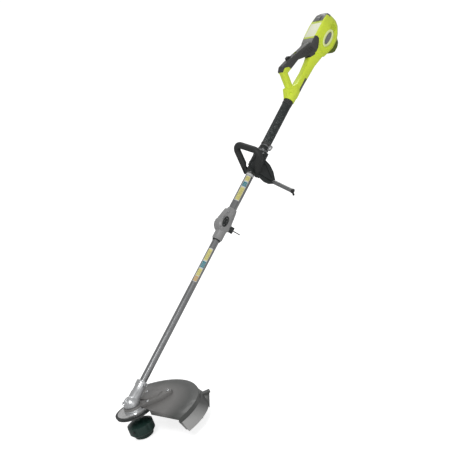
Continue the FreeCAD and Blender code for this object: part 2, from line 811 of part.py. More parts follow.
# ---- powerhead ------------------------------------------------------------------------------
motor_s = powerhead_start + 282.0
motor_len = 70.0
motor_r = 25.0
fan_s = motor_s - 13.0
coupling_s = motor_s - 34.0
bay_floor = 28.0
bay_front = powerhead_start + 238.0
bay_half = 30.0
battery_gap = 0.5

body_stations = [
    (powerhead_start + 228, 24, -27, 50, 8, 8),
    (powerhead_start + 240, 33, -38, 52, 14, 8),
    (powerhead_start + 286, 40, -52, 52, 22, 8),
    (powerhead_start + 326, 41, -52, 52, 24, 8),
    (powerhead_start + 350, 38, -44, 52, 22, 8),
    (powerhead_start + 377, 32, -30, 51, 18, 8),
    (powerhead_start + 390, 25, -19, 44, 14, 8),
    (powerhead_end, 15, -7, 33, 9, 8),
]
beam_stations = [
    (powerhead_start + 24, 20, -20, 30, 9, 9),
    (powerhead_start + 52, 18, -20, 26, 8, 8),
    (powerhead_start + 74, 17, -20, 12, 8, 6),
    (powerhead_start + 130, 17, -22, 9, 8, 6),
    (powerhead_start + 180, 17, -25, 13, 8, 6),
    (powerhead_start + 248, 19, -38, 30, 9, 9),
]
grip_stations = [
    (powerhead_start + 66, 14, 78, 98, 7, 7),
    (powerhead_start + 84, 15, 66, 105, 8, 9),
    (powerhead_start + 116, 15, 60, 97, 9, 10),
    (powerhead_start + 156, 15, 52, 84, 10, 11),
    (powerhead_start + 184, 16, 32, 74, 9, 12),
    (powerhead_start + 214, 20, 8, 62, 9, 12),
    (powerhead_start + 252, 27, 0, 50, 9, 10),
]
web_stations = [
    (powerhead_start + 3, 14, -10, 21, 6, 6),
    (powerhead_start + 27, 14, -10, 42, 6, 6),
    (powerhead_start + 46, 14, -10, 34, 6, 6),
    (powerhead_start + 58, 13, -10, 24, 6, 6),
]
strut_low = powerhead_start + 33.0
strut_high = powerhead_start + 82.0


def strut(inset):
    """The front post of the rear handle, leaning with the grip."""
    rise = 88.0
    lean = degrees(atan2(strut_high - strut_low, rise))
    post = lofted([(0, 12.5, -12.5, 12.5, 6, 6), (hypot(rise, strut_high - strut_low), 13.5, -12.5, 12.5, 6, 6)],
                  inset)
    post.rotate(V(0, 0, 0), V(0, 1, 0), -90 + lean)
    post.translate(V(strut_low, 0, 6))
    return post


def outer_form(inset):
    socket = onto_shaft(turned([(0, powerhead_start + inset), (21.5 - inset, powerhead_start + inset),
                                (22.5 - inset, powerhead_start + 30), (20 - inset, powerhead_start + 60 - inset),
                                (0, powerhead_start + 60 - inset)]))
    return join([lofted(body_stations, inset), lofted(beam_stations, inset), lofted(grip_stations, inset),
                 lofted(web_stations, inset), strut(inset), socket])


def grip_zone():
    """Side outline of the rubber-covered part of the rear handle."""
    s = powerhead_start
    points = [(s + 60, 90), (s + 84, 94), (s + 100, 80), (s + 104, 40), (s + 176, 40), (s + 196, 15),
              (s + 220, 3), (s + 256, 22), (s + 272, 34), (s + 274, 46), (s + 262, 75), (s + 200, 130), (s + 60, 130)]
    return slab(points, -80, 80)


def foot_block():
    """Rubber foot under the motor housing, before the housing is taken out of it."""
    s = powerhead_start
    side = [(s + 262, -30), (s + 272, -58), (s + 284, -65), (s + 306, -66), (s + 324, -60), (s + 344, -36)]
    return slab(side, -30, 30)


def oval_zone():
    """Cylinders of oval section through both cheeks of the motor housing."""
    oval = Part.Ellipse(V(0, 0, 0), 31.0, 11.0).toShape()
    face = Part.Face(Part.Wire([oval]))
    face.rotate(V(0, 0, 0), V(1, 0, 0), 90)
    face.translate(V(powerhead_start + 299, 90, -1))
    return face.extrude(V(0, -180, 0))


def bay(gap):
    """The battery's space, or a smaller block inside it."""
    return box(bay_front + gap, powerhead_end + 30, -bay_half + gap, bay_half - gap, bay_floor + gap, 90)


def bay_walls():
    wall = 2.2
    return box(bay_front - wall, powerhead_end + 30, -bay_half - wall, bay_half + wall, bay_floor - wall, 90)


trigger_s = powerhead_start + 104.0
trigger_h = 80.0
trigger_half = 7.0
trigger_pin_r = 2.0
terminal_reach = 3.0
lock_s = powerhead_start + 134.0
lock_half = 5.5
lock_travel = 3.5


def trigger_pocket():
    s = trigger_s
    half = trigger_half + guide
    return slab([(s - 9, 30), (s - 9, 90), (s + 24, 89), (s + 72, 78), (s + 72, 30)], -half, half)


def lock_pocket():
    half = lock_half + guide
    return box(lock_s - 10 - guide, lock_s + 10 + guide, -half, half, 76, 120)


boss_spots = [(62, 50), (138, -14), (196, -17), (229, 38), (268, -36), (349, -36), (374, -12)]


def boss_axis(spot):
    return powerhead_start + spot[0], spot[1]


def save_housing():
    whole = outer_form(0)
    inside_skin = outer_form(skin)
    cavity = outer_form(skin + shell)
    layer = whole.cut(inside_skin)
    ovals = layer.common(oval_zone())
    cover = layer.common(grip_zone()).cut(bay(0))
    body = carve(whole, [cover, ovals, cavity.cut(bay_walls()), bay(0)])
    bosses = []
    for spot in boss_spots:
        s, h = boss_axis(spot)
        bosses.append(rod_y(-50, 50, 5.0, s, h).common(inside_skin))
    body = body.multiFuse(bosses)
    trigger_pin = rod_y(-12.5, 12.5, trigger_pin_r, trigger_s, trigger_h)
    pockets = [trigger_pocket(), lock_pocket(), rod_s(powerhead_start - 1, socket_end, sleeve_r),
               rod_s(socket_end - 1, upper_tube_end, upper_r)]
    screws = []
    for spot in boss_spots:
        s, h = boss_axis(spot)
        pockets.append(rod_y(-9, 60, 1.75, s, h))
        pockets.append(rod_y(11, 60, 3.8, s, h))
        head = rod_y(11, 13.4, 3.4, s, h).cut(rod_y(12.2, 15, 1.4, s, h))
        screws.append(head.fuse(rod_y(-9, 11, 1.75, s, h)))
    body = carve(body, pockets + vent_slots()).fuse(trigger_pin)
    left = body.common(box(powerhead_start - 5, powerhead_end + 5, -90, 0, -120, 160))
    right = body.common(box(powerhead_start - 5, powerhead_end + 5, 0, 90, -120, 160))
    save("left_housing", main_solid(left))
    save("right_housing", main_solid(right))
    save("housing_screws", screws)
    save("grip_cover", main_solid(carve(cover, pockets)))
    save("foot_pad", main_solid(foot_block().cut(whole)))


def main_solid(shape):
    """The largest solid, without slivers that a cut can leave."""
    return [max(shape.Solids, key=lambda solid: solid.Volume)]


def vent_slots():
    """Cooling slots toward the rear of both cheeks."""
    slots = []
    for i in range(5):
        s = powerhead_start + 364 - 7.0 * i
        slots.append(slab([(s, -16), (s + 3, -16), (s + 7, 10), (s + 4, 10)], -90, 90))
    return slots


def save_motor():
    end = motor_s + motor_len
    can = pipe_s(motor_s, end, motor_r, motor_r - 2.0)
    for s in (motor_s, end - 2.5):
        can = can.fuse(pipe_s(s, s + 2.5, motor_r - 0.5, 8.0))
    magnets = []
    for angle in (25.0, 205.0):
        arc = turned([(18.0, 6), (23.0, 6), (23.0, motor_len - 18), (18.0, motor_len - 18)], 130, angle)
        arc = onto_shaft(arc)
        arc.translate(V(motor_s, 0, 0))
        magnets.append(arc)
    save("motor_stator", [can.removeSplitter()] + magnets)
    bearing_s = coupling_s - 26
    rings = [pipe_s(s, s + 5, 8.0, 3.0 + running) for s in (motor_s - 1, end - 4)]
    save("upper_bearings", rings + [pipe_s(bearing_s, bearing_s + 6, 9.5, shaft_r)])
    cradle = lofted(body_stations, skin + shell + 0.3).common(box(motor_s + 5, motor_s + 10, -60, 60, -60, 20))
    save("motor_mounts", [cradle.cut(rod_s(motor_s - 5, end, motor_r)), bearing_holder(bearing_s)])
    ring = turned([(8.3, 0), (16.5, 0), (16.5, 40), (8.3, 40)])
    core = onto_shaft(ring)
    core.translate(V(motor_s + 9, 0, 0))
    for i in range(9):
        slot = box(motor_s + 8, motor_s + 50, -1.1, 1.1, 11.5, 20)
        slot.rotate(V(0, 0, 0), V(1, 0, 0), 40.0 * i)
        core = core.cut(slot)
    save("rotor_core", [core, pipe_s(motor_s + 51, motor_s + 62, 9.5, 3.0)])
    shaft = join([rod_s(coupling_s + 1, end + 1, 3.0), rod_s(motor_s + 8.5, motor_s + 50, 8.3)])
    coupling = carve(rod_s(coupling_s - 9, coupling_s + 11, 8.0),
                     [rod_s(coupling_s - 10, coupling_s, shaft_r - running), rod_s(coupling_s - 1, coupling_s + 12, 3.0)])
    save("motor_shaft", [shaft, coupling])
    save("cooling_fan", [cooling_fan()])


def cooling_fan():
    fan = pipe_s(fan_s - 5, fan_s + 5, 6.0, 3.0).fuse(pipe_s(fan_s + 3.5, fan_s + 5, 21.0, 3.0))
    for i in range(9):
        blade = box(fan_s - 4, fan_s + 4, -0.8, 0.8, 5.5, 21.0)
        blade.rotate(V(0, 0, 0), V(1, 0, 0), 40.0 * i)
        fan = fan.fuse(blade)
    return fan.removeSplitter()


def bearing_holder(s):
    """Plate that carries the drive shaft's upper bearing inside the beam."""
    holder = box(s - 1.5, s + 6, -13.5, 13.5, -14, 12).cut(rod_s(s, s + 7, 9.5))
    return holder.cut(rod_s(s - 3, s + 7, 7.0))


def save_controls():
    s = trigger_s
    trigger = slab([(s - 6, 68), (s - 7, 80), (s - 3, 86), (s + 5, 86), (s + 14, 76), (s + 60, 63), (s + 66, 50),
                    (s + 48, 55), (s + 20, 64), (s + 6, 69)], -trigger_half, trigger_half)
    save("trigger", [trigger.cut(rod_y(-20, 20, trigger_pin_r + running, s, trigger_h))])
    save("trigger_switch", [box(s + 76, s + 92, -6, 6, 51, 63)])
    lock = slab([(lock_s - 10, 84), (lock_s + 10, 84), (lock_s + 10, 92), (lock_s + 4, 99), (lock_s - 8, 101),
                 (lock_s - 10, 98)], -lock_half, lock_half)
    save("lock_off_button", [lock])
    board_top = -38.4
    board = box(motor_s + 14, motor_s + 60, -20, 20, board_top - 1.6, board_top)
    parts = [rod(V(motor_s + x, y, board_top), V(motor_s + x, y, board_top + 9), 4.5)
             for x, y in ((22, -12), (36, -12), (22, 12))]
    parts.extend([box(motor_s + x, motor_s + x + 9, 4, 14, board_top, board_top + 4) for x in (33, 47)])
    save("control_board", [board] + parts)
    save("terminal_block", [box(bay_front, bay_front + terminal_reach, -10, 10, 31, 38)])


battery_split = 38.0
battery_bands = [bay_front + 18.0, bay_front + 102.0]


def save_battery():
    form = lofted(body_stations, 0).common(bay(battery_gap))
    hollow = lofted(body_stations, 2.0).common(
        box(bay_front + 5.2, bay_front + 138, -bay_half + 2.5, bay_half - 2.5, bay_floor + 2.7, 90))
    slot = box(bay_front - 1, bay_front + terminal_reach + guide, -10 - guide, 10 + guide, 31 - guide, 38 + guide)
    latch_s = battery_bands[1] + 16.0
    latch_pocket = box(latch_s - 11, latch_s + 11, -9 - guide, 9 + guide, 49.3, 80)
    shells = carve(form, [hollow, slot, latch_pocket])
    lid_zone = box(battery_bands[0], battery_bands[1], -60, 60, battery_split, 90)
    save("battery_lid", main_solid(shells.common(lid_zone)))
    save("battery_case", main_solid(shells.cut(lid_zone)))
    cells = []
    for row in range(2):
        start = bay_front + 5.8 + 65.4 * row
        for column in (-1, 0, 1):
            cells.append(rod_s(start, start + 65.0, 9.0, 18.2 * column, bay_floor + 12.0))
    save("battery_cells", cells)
    latch = slab([(latch_s - 10, 51.8), (latch_s + 10, 51.8), (latch_s + 10, 54), (latch_s + 4, 55.4),
                  (latch_s - 10, 54.6)], -9, 9)
    save("battery_latch", [latch])


def main():
    os.makedirs("parts", exist_ok=True)
    save_gear_head()
    save_cutting_head()
    save_lower_shaft()
    save_coupler()
    save_upper_shaft()
    save_harness()
    save_front_handle()
    save_housing()
    save_motor()
    save_controls()
    save_battery()


main()
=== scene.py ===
"""Looks for a battery string trimmer: finishes, moulded detail, labels, light and camera."""
import json
import math

import bpy
from mathutils import Matrix, Vector


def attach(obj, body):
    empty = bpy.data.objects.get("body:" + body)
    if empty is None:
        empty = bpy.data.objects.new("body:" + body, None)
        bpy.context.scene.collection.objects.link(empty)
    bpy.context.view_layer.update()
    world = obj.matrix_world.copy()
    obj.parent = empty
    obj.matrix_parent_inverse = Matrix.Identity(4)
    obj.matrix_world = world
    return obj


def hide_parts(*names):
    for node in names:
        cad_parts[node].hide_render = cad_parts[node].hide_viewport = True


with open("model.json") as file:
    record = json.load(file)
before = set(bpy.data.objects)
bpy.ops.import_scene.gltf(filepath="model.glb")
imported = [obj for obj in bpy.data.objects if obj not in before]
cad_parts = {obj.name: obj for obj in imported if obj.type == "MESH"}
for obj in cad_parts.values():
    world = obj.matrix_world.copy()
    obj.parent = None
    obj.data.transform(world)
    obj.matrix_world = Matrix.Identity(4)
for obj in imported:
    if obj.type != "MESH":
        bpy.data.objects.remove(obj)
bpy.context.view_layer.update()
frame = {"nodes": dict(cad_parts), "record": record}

# ---- places ---------------------------------------------------------------------------------
SHAFT_LEAN = math.radians(30)      # the shaft rises toward the operator
EYE_ALONG = 1.081                  # harness eye, along the shaft from the head's spin axis
EYE_OUT = 0.036                    # harness eye, out from the shaft axis
ALONG = Vector((math.cos(SHAFT_LEAN), 0, math.sin(SHAFT_LEAN)))
RIGHT = Vector((0, 1, 0))
ABOVE = ALONG.cross(RIGHT)
SPIN_POINT = RIGHT * EYE_OUT - ALONG * EYE_ALONG
HEAD_FRAME = Matrix.Translation(SPIN_POINT)
SHAFT_FRAME = Matrix.Translation(SPIN_POINT) @ Matrix((ALONG, RIGHT, ABOVE)).transposed().to_4x4()

LOWER_TUBE_R = 0.0127
UPPER_TUBE_R = 0.015
POWERHEAD_START = 1.302
LABEL_TURN = math.radians(137)     # the labels face the operator's upper left

NODES = frame["nodes"]
BODY_OF = {node: body for body, nodes in frame["record"]["behaviour"]["bodies"].items() for node in nodes}


# ---- shader groups --------------------------------------------------------------------------
def new_group(name, inputs, outputs):
    """A shader group with its sockets; returns it with its nodes for the inside and the outside."""
    group = bpy.data.node_groups.new(name, "ShaderNodeTree")
    for label, kind, value in inputs:
        socket = group.interface.new_socket(label, in_out="INPUT", socket_type=kind)
        if value is not None:
            socket.default_value = value
    for label, kind in outputs:
        group.interface.new_socket(label, in_out="OUTPUT", socket_type=kind)
    return group, group.nodes.new("NodeGroupInput"), group.nodes.new("NodeGroupOutput")


def noise(tree, vector, scale, detail=3.0, rough=0.5):
    node = tree.nodes.new("ShaderNodeTexNoise")
    node.inputs["Detail"].default_value = detail
    node.inputs["Roughness"].default_value = rough
    tree.links.new(vector, node.inputs["Vector"])
    feed(tree, node.inputs["Scale"], scale)
    return node


def feed(tree, socket, value):
    """Link an output to a socket, or set it to a plain value."""
    if isinstance(value, bpy.types.NodeSocket):
        tree.links.new(value, socket)
    else:
        socket.default_value = value


def maths(tree, operation, a, b=0.0, clamp=False):
    node = tree.nodes.new("ShaderNodeMath")
    node.operation = operation
    node.use_clamp = clamp
    feed(tree, node.inputs[0], a)
    feed(tree, node.inputs[1], b)
    return node.outputs[0]


def between(tree, value, low, high, out_low=0.0, out_high=1.0):
    node = tree.nodes.new("ShaderNodeMapRange")
    for label, number in (("From Min", low), ("From Max", high), ("To Min", out_low), ("To Max", out_high)):
        feed(tree, node.inputs[label], number)
    tree.links.new(value, node.inputs["Value"])
    return node.outputs["Result"]


def mixed(tree, factor, first, second):
    node = tree.nodes.new("ShaderNodeMix")
    node.data_type = "RGBA"
    feed(tree, node.inputs["Factor"], factor)
    colours = {"A": first, "B": second}
    for socket in node.inputs:
        if socket.type == "RGBA":
            feed(tree, socket, colours[socket.name])
    return next(socket for socket in node.outputs if socket.type == "RGBA")


def handled_surface():
    """Colour that drifts a little, with handling scuffs and dust, and the roughness that goes with them."""
    group, ins, outs = new_group(
        "handled_surface",
        [("Vector", "NodeSocketVector", None), ("Colour", "NodeSocketColor", None),
         ("Scuff Colour", "NodeSocketColor", None), ("Roughness", "NodeSocketFloat", 0.4),
         ("Drift", "NodeSocketFloat", 0.1), ("Scuffs", "NodeSocketFloat", 0.2)],
        [("Colour", "NodeSocketColor"), ("Roughness", "NodeSocketFloat")])
    vector = ins.outputs["Vector"]
    clouds = noise(group, vector, 9.0, 4.0).outputs["Fac"]
    streaks = noise(group, vector, 140.0, 6.0, 0.7).outputs["Fac"]
    patches = noise(group, vector, 22.0, 3.0).outputs["Fac"]
    shade = maths(group, "MULTIPLY", between(group, clouds, 0.3, 0.7, -0.5, 0.5), ins.outputs["Drift"])
    bright = group.nodes.new("ShaderNodeHueSaturation")
    group.links.new(maths(group, "ADD", shade, 1.0), bright.inputs["Value"])
    group.links.new(ins.outputs["Colour"], bright.inputs["Color"])
    scuffed = maths(group, "MULTIPLY", between(group, streaks, 0.58, 0.72), between(group, patches, 0.5, 0.7))
    scuffed = maths(group, "MULTIPLY", scuffed, ins.outputs["Scuffs"], True)
    colour = mixed(group, scuffed, bright.outputs["Color"], ins.outputs["Scuff Colour"])
    group.links.new(colour, outs.inputs["Colour"])
    rough = maths(group, "ADD", ins.outputs["Roughness"], maths(group, "MULTIPLY", scuffed, 0.3))
    rough = maths(group, "ADD", rough, between(group, patches, 0.3, 0.7, -0.03, 0.03), True)
    group.links.new(rough, outs.inputs["Roughness"])
    return group


def moulded_grain():
    """Fine pebbled height of moulded plastic, rubber and castings."""
    group, ins, outs = new_group(
        "moulded_grain",
        [("Vector", "NodeSocketVector", None), ("Scale", "NodeSocketFloat", 900.0),
         ("Ripple", "NodeSocketFloat", 0.2)],
        [("Height", "NodeSocketFloat")])
    vector = ins.outputs["Vector"]
    pebbles = group.nodes.new("ShaderNodeTexVoronoi")
    pebbles.feature = "SMOOTH_F1"
    group.links.new(vector, pebbles.inputs["Vector"])
    group.links.new(ins.outputs["Scale"], pebbles.inputs["Scale"])
    waves = noise(group, vector, 60.0, 2.0).outputs["Fac"]
    swell = maths(group, "MULTIPLY", waves, ins.outputs["Ripple"])
    height = maths(group, "ADD", pebbles.outputs["Distance"], swell)
    group.links.new(height, outs.inputs["Height"])
    return group


def drawn_metal():
    """Long fine scratches, stretched along the first axis of the vector."""
    group, ins, outs = new_group(
        "drawn_metal",
        [("Vector", "NodeSocketVector", None), ("Stretch", "NodeSocketFloat", 0.03),
         ("Scale", "NodeSocketFloat", 1600.0)],
        [("Height", "NodeSocketFloat"), ("Tone", "NodeSocketFloat")])
    apart = group.nodes.new("ShaderNodeSeparateXYZ")
    group.links.new(ins.outputs["Vector"], apart.inputs[0])
    together = group.nodes.new("ShaderNodeCombineXYZ")
    group.links.new(maths(group, "MULTIPLY", apart.outputs[0], ins.outputs["Stretch"]), together.inputs[0])
    group.links.new(apart.outputs[1], together.inputs[1])
    group.links.new(apart.outputs[2], together.inputs[2])
    fine = noise(group, together.outputs[0], ins.outputs["Scale"], 3.0).outputs["Fac"]
    broad = noise(group, together.outputs[0], 240.0, 2.0).outputs["Fac"]
    group.links.new(fine, outs.inputs["Height"])
    group.links.new(between(group, broad, 0.3, 0.7, 0.85, 1.1), outs.inputs["Tone"])
    return group


def shaft_bands():
    """Colour in bands along one axis: first, stripe, middle, stripe again and last."""
    group, ins, outs = new_group(
        "shaft_bands",
        [("Along", "NodeSocketFloat", 0.0), ("First", "NodeSocketColor", None),
         ("Stripe", "NodeSocketColor", None), ("Middle", "NodeSocketColor", None),
         ("Last", "NodeSocketColor", None), ("Stripe Start", "NodeSocketFloat", 0.0),
         ("Middle Start", "NodeSocketFloat", 0.0), ("Middle End", "NodeSocketFloat", 0.0),
         ("Stripe End", "NodeSocketFloat", 0.0)],
        [("Colour", "NodeSocketColor")])
    colour = ins.outputs["First"]
    steps = [("Stripe Start", "Stripe"), ("Middle Start", "Middle"), ("Middle End", "Stripe"),
             ("Stripe End", "Last")]
    for place, paint in steps:
        past = maths(group, "GREATER_THAN", ins.outputs["Along"], ins.outputs[place])
        colour = mixed(group, past, colour, ins.outputs[paint])
    group.links.new(colour, outs.inputs["Colour"])
    return group


HANDLED = handled_surface()
GRAIN = moulded_grain()
DRAWN = drawn_metal()
BANDS = shaft_bands()


# ---- materials ------------------------------------------------------------------------------
BUMP_STRENGTH = 0.6
FINE_GRAIN = 0.00008               # depth of a moulding's texture
PRINT_GRAIN = 0.00002              # depth of a label's texture


def placed_group(tree, group, values):
    node = tree.nodes.new("ShaderNodeGroup")
    node.node_tree = group
    for label, value in values.items():
        feed(tree, node.inputs[label], value)
    return node


def shaft_vector(tree, vector):
    """Object coordinates turned so that their first axis runs along the shaft from the spin axis."""
    mapping = tree.nodes.new("ShaderNodeMapping")
    mapping.vector_type = "POINT"
    turn = SHAFT_FRAME.inverted()
    mapping.inputs["Location"].default_value = turn.translation
    mapping.inputs["Rotation"].default_value = turn.to_euler()
    tree.links.new(vector, mapping.inputs["Vector"])
    return mapping.outputs["Vector"]


def blank_material(name):
    material = bpy.data.materials.new(name)
    material.use_nodes = True
    tree = material.node_tree
    shader = tree.nodes["Principled BSDF"]
    place = tree.nodes.new("ShaderNodeTexCoord").outputs["Object"]
    return material, tree, shader, place


def add_bump(tree, shader, height, depth):
    bump = tree.nodes.new("ShaderNodeBump")
    bump.inputs["Strength"].default_value = BUMP_STRENGTH
    bump.inputs["Distance"].default_value = depth
    tree.links.new(height, bump.inputs["Height"])
    tree.links.new(bump.outputs["Normal"], shader.inputs["Normal"])


def handled(tree, shader, place, tone, scuff, rough, drift=0.12, scuffs=0.25):
    """Join a colour to the shader, with handling marks over it."""
    look = placed_group(tree, HANDLED, {"Vector": place, "Colour": tone, "Scuff Colour": (*scuff, 1),
                                        "Roughness": rough, "Drift": drift, "Scuffs": scuffs})
    tree.links.new(look.outputs["Colour"], shader.inputs["Base Color"])
    tree.links.new(look.outputs["Roughness"], shader.inputs["Roughness"])


def grained(tree, shader, place, grain, depth=FINE_GRAIN, ripple=0.2):
    """Give the shader the pebbled relief of a moulding."""
    bumps = placed_group(tree, GRAIN, {"Vector": place, "Scale": grain, "Ripple": ripple})
    add_bump(tree, shader, bumps.outputs["Height"], depth)


def surface(name, colour, scuff, rough, grain=900.0, depth=FINE_GRAIN, drift=0.12, scuffs=0.25,
            metallic=0.0, coat=0.0, ripple=0.2):
    """A moulded, cast or painted surface."""
    material, tree, shader, place = blank_material(name)
    handled(tree, shader, place, (*colour, 1), scuff, rough, drift, scuffs)
    grained(tree, shader, place, grain, depth, ripple)
    shader.inputs["Metallic"].default_value = metallic
    shader.inputs["Coat Weight"].default_value = coat
    return material


WORN_METAL = (0.5, 0.5, 0.5)


def drawn_surface(name, colour, rough, depth=0.00003, metallic=1.0):
    """Metal drawn or turned along the shaft."""
    material, tree, shader, place = blank_material(name)
    vector = shaft_vector(tree, place)
    marks = placed_group(tree, DRAWN, {"Vector": vector})
    tint = tree.nodes.new("ShaderNodeHueSaturation")
    tint.inputs["Color"].default_value = (*colour, 1)
    tree.links.new(marks.outputs["Tone"], tint.inputs["Value"])
    handled(tree, shader, place, tint.outputs["Color"], WORN_METAL, rough, 0.1, 0.15)
    add_bump(tree, shader, marks.outputs["Height"], depth)
    shader.inputs["Metallic"].default_value = metallic
    return material


LIME = (0.78, 0.94, 0.06)
PALE_LIME = (0.90, 0.98, 0.46)
BLACK = (0.018, 0.021, 0.021)
CHARCOAL = (0.062, 0.062, 0.060)
GUARD_GREY = (0.205, 0.20, 0.195)
MID_GREY = (0.22, 0.225, 0.225)
SCUFF_GREY = (0.30, 0.30, 0.29)
CREAM = (0.80, 0.74, 0.26)
TEAL = (0.03, 0.24, 0.30)
PAPER = (0.66, 0.67, 0.66)
AMBER = (0.62, 0.40, 0.14)


def speckled_rubber():
    """Black rubber sleeve with a woven pattern and pale specks that thin out up the shaft."""
    material, tree, shader, place = blank_material("speckled_rubber")
    vector = shaft_vector(tree, place)
    speck_scale = 420.0
    speck_r = 0.27
    dense_end = 1.10
    sparse_end = 1.28
    weave_depth = 0.0004
    apart = tree.nodes.new("ShaderNodeSeparateXYZ")
    tree.links.new(vector, apart.inputs[0])
    specks = tree.nodes.new("ShaderNodeTexVoronoi")
    specks.inputs["Scale"].default_value = speck_scale
    tree.links.new(vector, specks.inputs["Vector"])
    dots = maths(tree, "LESS_THAN", specks.outputs["Distance"], speck_r)
    patches = between(tree, noise(tree, vector, 90.0, 2.0).outputs["Fac"], 0.38, 0.54)
    fade = between(tree, apart.outputs[0], dense_end, sparse_end, 1.0, 0.20)
    amount = maths(tree, "MULTIPLY", maths(tree, "MULTIPLY", dots, patches), fade, True)
    paint = mixed(tree, amount, (0.020, 0.026, 0.026, 1), (0.50, 0.53, 0.52, 1))
    handled(tree, shader, place, paint, SCUFF_GREY, 0.55, 0.2, 0.15)
    add_bump(tree, shader, specks.outputs["Distance"], weave_depth)
    return material


def battery_plastic():
    """The battery's moulded shell, coloured in bands along its length."""
    material, tree, shader, place = blank_material("battery_plastic")
    apart = tree.nodes.new("ShaderNodeSeparateXYZ")
    tree.links.new(shaft_vector(tree, place), apart.inputs[0])
    bands = placed_group(tree, BANDS, {
        "Along": apart.outputs[0], "First": (0.24, 0.24, 0.23, 1), "Stripe": (0.66, 0.80, 0.12, 1),
        "Middle": (0.92, 0.94, 0.72, 1), "Last": (0.16, 0.16, 0.16, 1), "Stripe Start": 1.5625,
        "Middle Start": 1.571, "Middle End": 1.636, "Stripe End": 1.647})
    handled(tree, shader, place, bands.outputs["Colour"], (0.5, 0.5, 0.46), 0.42)
    grained(tree, shader, place, 1100.0)
    return material


GUARD_GRAIN = 700.0


def roof_plastic():
    """The guard's roof, with painted shade that darkens it where it bends down to its rim."""
    material, tree, shader, place = blank_material("guard_plastic")
    apart = tree.nodes.new("ShaderNodeSeparateXYZ")
    tree.links.new(place, apart.inputs[0])
    east = maths(tree, "SUBTRACT", apart.outputs[0], SPIN_POINT.x)
    north = maths(tree, "SUBTRACT", apart.outputs[1], SPIN_POINT.y)
    reach = maths(tree, "SQRT", maths(tree, "ADD", maths(tree, "MULTIPLY", east, east),
                                      maths(tree, "MULTIPLY", north, north)))
    flat_r = 0.150
    rim_r = 0.205
    # painted shade: the roof's grey turns dark between flat_r and rim_r, where it bends down away from the
    # light
    rim_shade = between(tree, reach, flat_r, rim_r)
    tone = mixed(tree, rim_shade, (*GUARD_GREY, 1), (0.075, 0.079, 0.075, 1))
    handled(tree, shader, place, tone, (0.34, 0.34, 0.33), 0.42)
    grained(tree, shader, place, GUARD_GRAIN)
    shader.inputs["Coat Weight"].default_value = 0.1
    return material


def skirt_plastic():
    """The guard's skirt, with painted light and shade: paler where light falls at the operator's end, darker
    in painted shade toward its far end.
    """
    material, tree, shader, place = blank_material("skirt_plastic")
    apart = tree.nodes.new("ShaderNodeSeparateXYZ")
    tree.links.new(place, apart.inputs[0])
    # painted light and shade: a lit pale grey at the operator's end fades into a painted shade toward the far
    # end
    far_shade = between(tree, apart.outputs[1], SPIN_POINT.y - 0.235, SPIN_POINT.y - 0.185)
    tone = mixed(tree, far_shade, (0.42, 0.42, 0.415, 1), (0.085, 0.087, 0.085, 1))
    handled(tree, shader, place, tone, (0.45, 0.45, 0.44), 0.4)
    grained(tree, shader, place, GUARD_GRAIN)
    return material


FINISH = {
    "lime": surface("lime_shell", LIME, (0.82, 0.92, 0.30), 0.40, coat=0.1),
    "pale_lime": surface("pale_lime", PALE_LIME, (0.9, 0.9, 0.8), 0.35),
    # The foot pad's dark olive is the lime darkened: partly a pad that stands for a rubber foot, partly
    # painted shade of the housing's shaded underside.
    "deep_lime": surface("olive_rubber_and_shade", (0.11, 0.15, 0.012), (0.3, 0.3, 0.2), 0.6, grain=600.0),
    "battery": battery_plastic(),
    "black": surface("black_plastic", BLACK, SCUFF_GREY, 0.38, depth=0.0001),
    # painted sheen: the green tint in the line head's black stands in for a sheen on it
    "head_black": surface("line_head_plastic", (0.014, 0.038, 0.031), (0.12, 0.22, 0.18), 0.34, depth=0.0001),
    "charcoal": surface("charcoal_rubber", CHARCOAL, (0.2, 0.2, 0.19), 0.52, grain=650.0, depth=0.0002),
    "foam": surface("handle_foam", (0.024, 0.026, 0.026), (0.16, 0.16, 0.16), 0.62, grain=1500.0,
                    depth=0.0002),
    "guard": roof_plastic(),
    "skirt": skirt_plastic(),
    "grey": surface("grey_plastic", MID_GREY, (0.4, 0.4, 0.4), 0.4),
    "coupler_grey": surface("coupler_plastic", (0.30, 0.30, 0.30), (0.45, 0.45, 0.45), 0.34),
    "cast": surface("cast_aluminium", (0.66, 0.67, 0.68), (0.5, 0.5, 0.5), 0.34, grain=500.0, depth=0.0003,
                    metallic=0.85, ripple=1.0),
    "polished": drawn_surface("polished_plate", (0.90, 0.90, 0.90), 0.12, 0.00001),
    "steel": drawn_surface("bright_steel", (0.62, 0.63, 0.64), 0.26),
    "tube": drawn_surface("tube_metal", (0.30, 0.305, 0.31), 0.33, metallic=0.85),
    "blackened": drawn_surface("blackened_steel", (0.05, 0.052, 0.054), 0.4, metallic=0.5),
    "brass": drawn_surface("bronze_bush", (0.60, 0.42, 0.18), 0.3),
    "copper": surface("copper_winding", (0.55, 0.22, 0.08), (0.7, 0.4, 0.2), 0.35, grain=1800.0,
                      metallic=0.9),
    "line": surface("nylon_line", (0.70, 0.22, 0.04), (0.8, 0.5, 0.3), 0.35, grain=1200.0),
    "board": surface("lacquered_board", (0.02, 0.15, 0.05), (0.1, 0.3, 0.1), 0.3, grain=1500.0),
    "sleeve": speckled_rubber(),
    "cream": surface("cream_label", CREAM, (0.9, 0.9, 0.8), 0.4, depth=PRINT_GRAIN),
    "teal": surface("teal_label", TEAL, (0.3, 0.5, 0.55), 0.4, depth=PRINT_GRAIN),
    "paper": surface("white_label", PAPER, (0.6, 0.6, 0.6), 0.4, depth=PRINT_GRAIN),
    "amber": surface("amber_label", AMBER, (0.9, 0.7, 0.4), 0.4, depth=PRINT_GRAIN),
}

